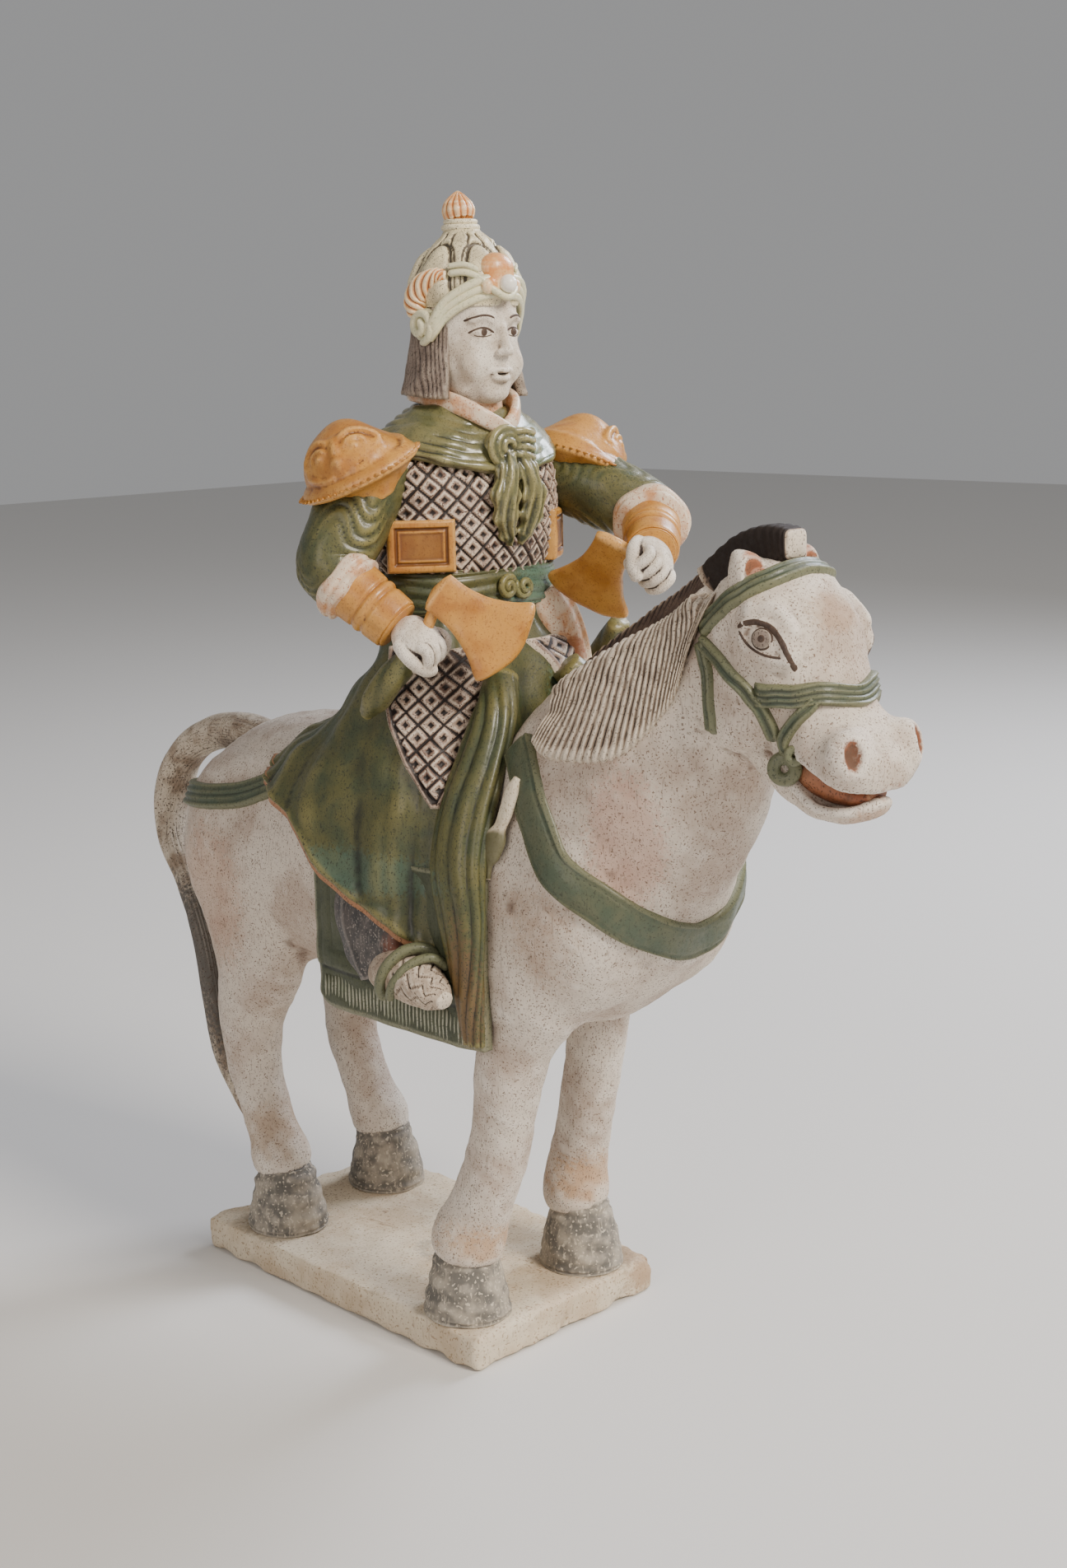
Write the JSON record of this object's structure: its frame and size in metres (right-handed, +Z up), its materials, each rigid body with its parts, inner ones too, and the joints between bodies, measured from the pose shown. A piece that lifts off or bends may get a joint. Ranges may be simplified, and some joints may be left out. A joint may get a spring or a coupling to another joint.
{
  "type": "horse and rider figure",
  "caption": "Glazed pottery figure of a standing horse with an armoured rider who holds an axe in each hand, on a flat slab plinth.",
  "frame": {"origin": "centre of the plinth's flat underside", "axes": "+Z up, the horse and rider face -Y, the horse's right side is -X"},
  "size_m": [0.1438, 0.3898, 0.42],
  "materials": {
    "glazed_figure": "matt ivory slip on the horse and skin, glossy olive green and amber glazes on the dress and tack",
    "plinth_slab": "matt cream slip, worn and stained"
  },
  "bodies": {
    "root": {"horse_and_rider": "glazed_figure", "plinth": "plinth_slab"}
  },
  "joints": []
}
